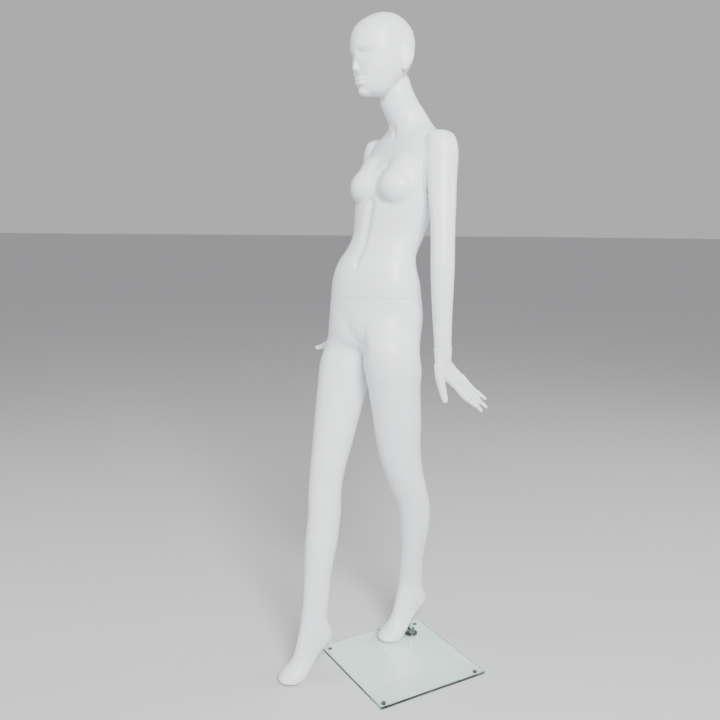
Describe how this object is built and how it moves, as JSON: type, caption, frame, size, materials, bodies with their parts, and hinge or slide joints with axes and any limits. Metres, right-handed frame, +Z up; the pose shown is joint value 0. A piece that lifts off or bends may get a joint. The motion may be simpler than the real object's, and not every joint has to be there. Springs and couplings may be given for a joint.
{
  "type": "full body display mannequin",
  "caption": "White hollow female display figure in a walking pose on a square glass base; waist, thigh, shoulders and wrists come apart at fitted couplings.",
  "frame": {"origin": "on the floor below the middle of the whole object's bounding box", "axes": "+Z up along the figure's height; the face and the toes point along -Y, so the figure's own left side is +X"},
  "size_m": [0.4965, 0.5368, 1.811],
  "materials": {
    "body_white": "satin white paint on glass-fibre shell",
    "plate_ply": "sawn plywood",
    "zinc_steel": "zinc plated",
    "bright_chrome": "polished chrome",
    "black_rubber": "matt",
    "clear_glass": "clear toughened glass with ground edges"
  },
  "bodies": {
    "base": {"glass_base": "clear_glass", "bumper_front_left": "black_rubber", "bumper_front_right": "black_rubber", "bumper_back_left": "black_rubber", "bumper_back_right": "black_rubber", "flange_gasket": "black_rubber", "base_flange": "bright_chrome", "base_bolt": "zinc_steel", "under_washer": "zinc_steel"},
    "set_screw": {"flange_set_screw": "bright_chrome"},
    "rod": {"support_rod": "bright_chrome"},
    "hips": {"hips_left_leg_shell": "body_white", "foot_rod_socket": "zinc_steel", "calf_rod_socket": "zinc_steel", "waist_lower_plate": "plate_ply", "waist_spigot": "zinc_steel", "waist_locating_pin": "zinc_steel", "waist_lower_screw_1": "zinc_steel", "waist_lower_screw_2": "zinc_steel", "thigh_upper_plate": "plate_ply", "thigh_socket": "zinc_steel", "thigh_upper_screw_1": "zinc_steel", "thigh_upper_screw_2": "zinc_steel"},
    "torso": {"torso_head_shell": "body_white", "waist_upper_plate": "plate_ply", "waist_socket": "zinc_steel", "waist_upper_screw_1": "zinc_steel", "waist_upper_screw_2": "zinc_steel", "left_shoulder_keyhole_plate": "zinc_steel", "right_shoulder_keyhole_plate": "zinc_steel"},
    "right_leg": {"right_leg_shell": "body_white", "thigh_lower_plate": "plate_ply", "thigh_spigot": "zinc_steel", "thigh_locating_pin": "zinc_steel", "thigh_lower_screw_1": "zinc_steel", "thigh_lower_screw_2": "zinc_steel"},
    "left_arm": {"left_arm_shell": "body_white", "left_arm_top_plate": "plate_ply", "left_arm_lock_stud": "zinc_steel", "left_wrist_socket": "zinc_steel"},
    "right_arm": {"right_arm_shell": "body_white", "right_arm_top_plate": "plate_ply", "right_arm_lock_stud": "zinc_steel", "right_wrist_socket": "zinc_steel"},
    "left_hand_unit": {"left_hand": "body_white", "left_hand_peg": "zinc_steel"},
    "right_hand_unit": {"right_hand": "body_white", "right_hand_peg": "zinc_steel"}
  },
  "joints": [
    {"name": "set_screw_turn", "type": "hinge", "parent": "base", "child": "set_screw", "pos_m": [-0.032, 0.185, 0.0261], "axis": [0, -1, 0], "range_deg": [0, 720]},
    {"name": "rod_turn", "type": "hinge", "parent": "base", "child": "rod", "pos_m": [-0.032, 0.197, 0.02], "axis": [0, 0, 1], "range_deg": [-15, 15]},
    {"name": "figure_lift", "type": "slide", "parent": "rod", "child": "hips", "axis": [0, 0, 1], "range_m": [0, 0.12]},
    {"name": "right_leg_pull", "type": "slide", "parent": "hips", "child": "right_leg", "axis": [-0.1534, -0.2397, -0.9587], "range_m": [0, 0.06]},
    {"name": "torso_lift", "type": "slide", "parent": "hips", "child": "torso", "axis": [0, 0, 1], "range_m": [0, 0.1]},
    {"name": "left_arm_unhook", "type": "slide", "parent": "torso", "child": "left_arm", "axis": [0, 0, 1], "range_m": [0, 0.022]},
    {"name": "right_arm_unhook", "type": "slide", "parent": "torso", "child": "right_arm", "axis": [0, 0, 1], "range_m": [0, 0.022]},
    {"name": "left_hand_turn", "type": "hinge", "parent": "left_arm", "child": "left_hand_unit", "pos_m": [0.204, 0.118, 0.953], "axis": [0, 0, 1], "range_deg": [-40, 40]},
    {"name": "right_hand_turn", "type": "hinge", "parent": "right_arm", "child": "right_hand_unit", "pos_m": [-0.22, 0.056, 0.998], "axis": [0, 0.3584, 0.9336], "range_deg": [-40, 40]}
  ]
}
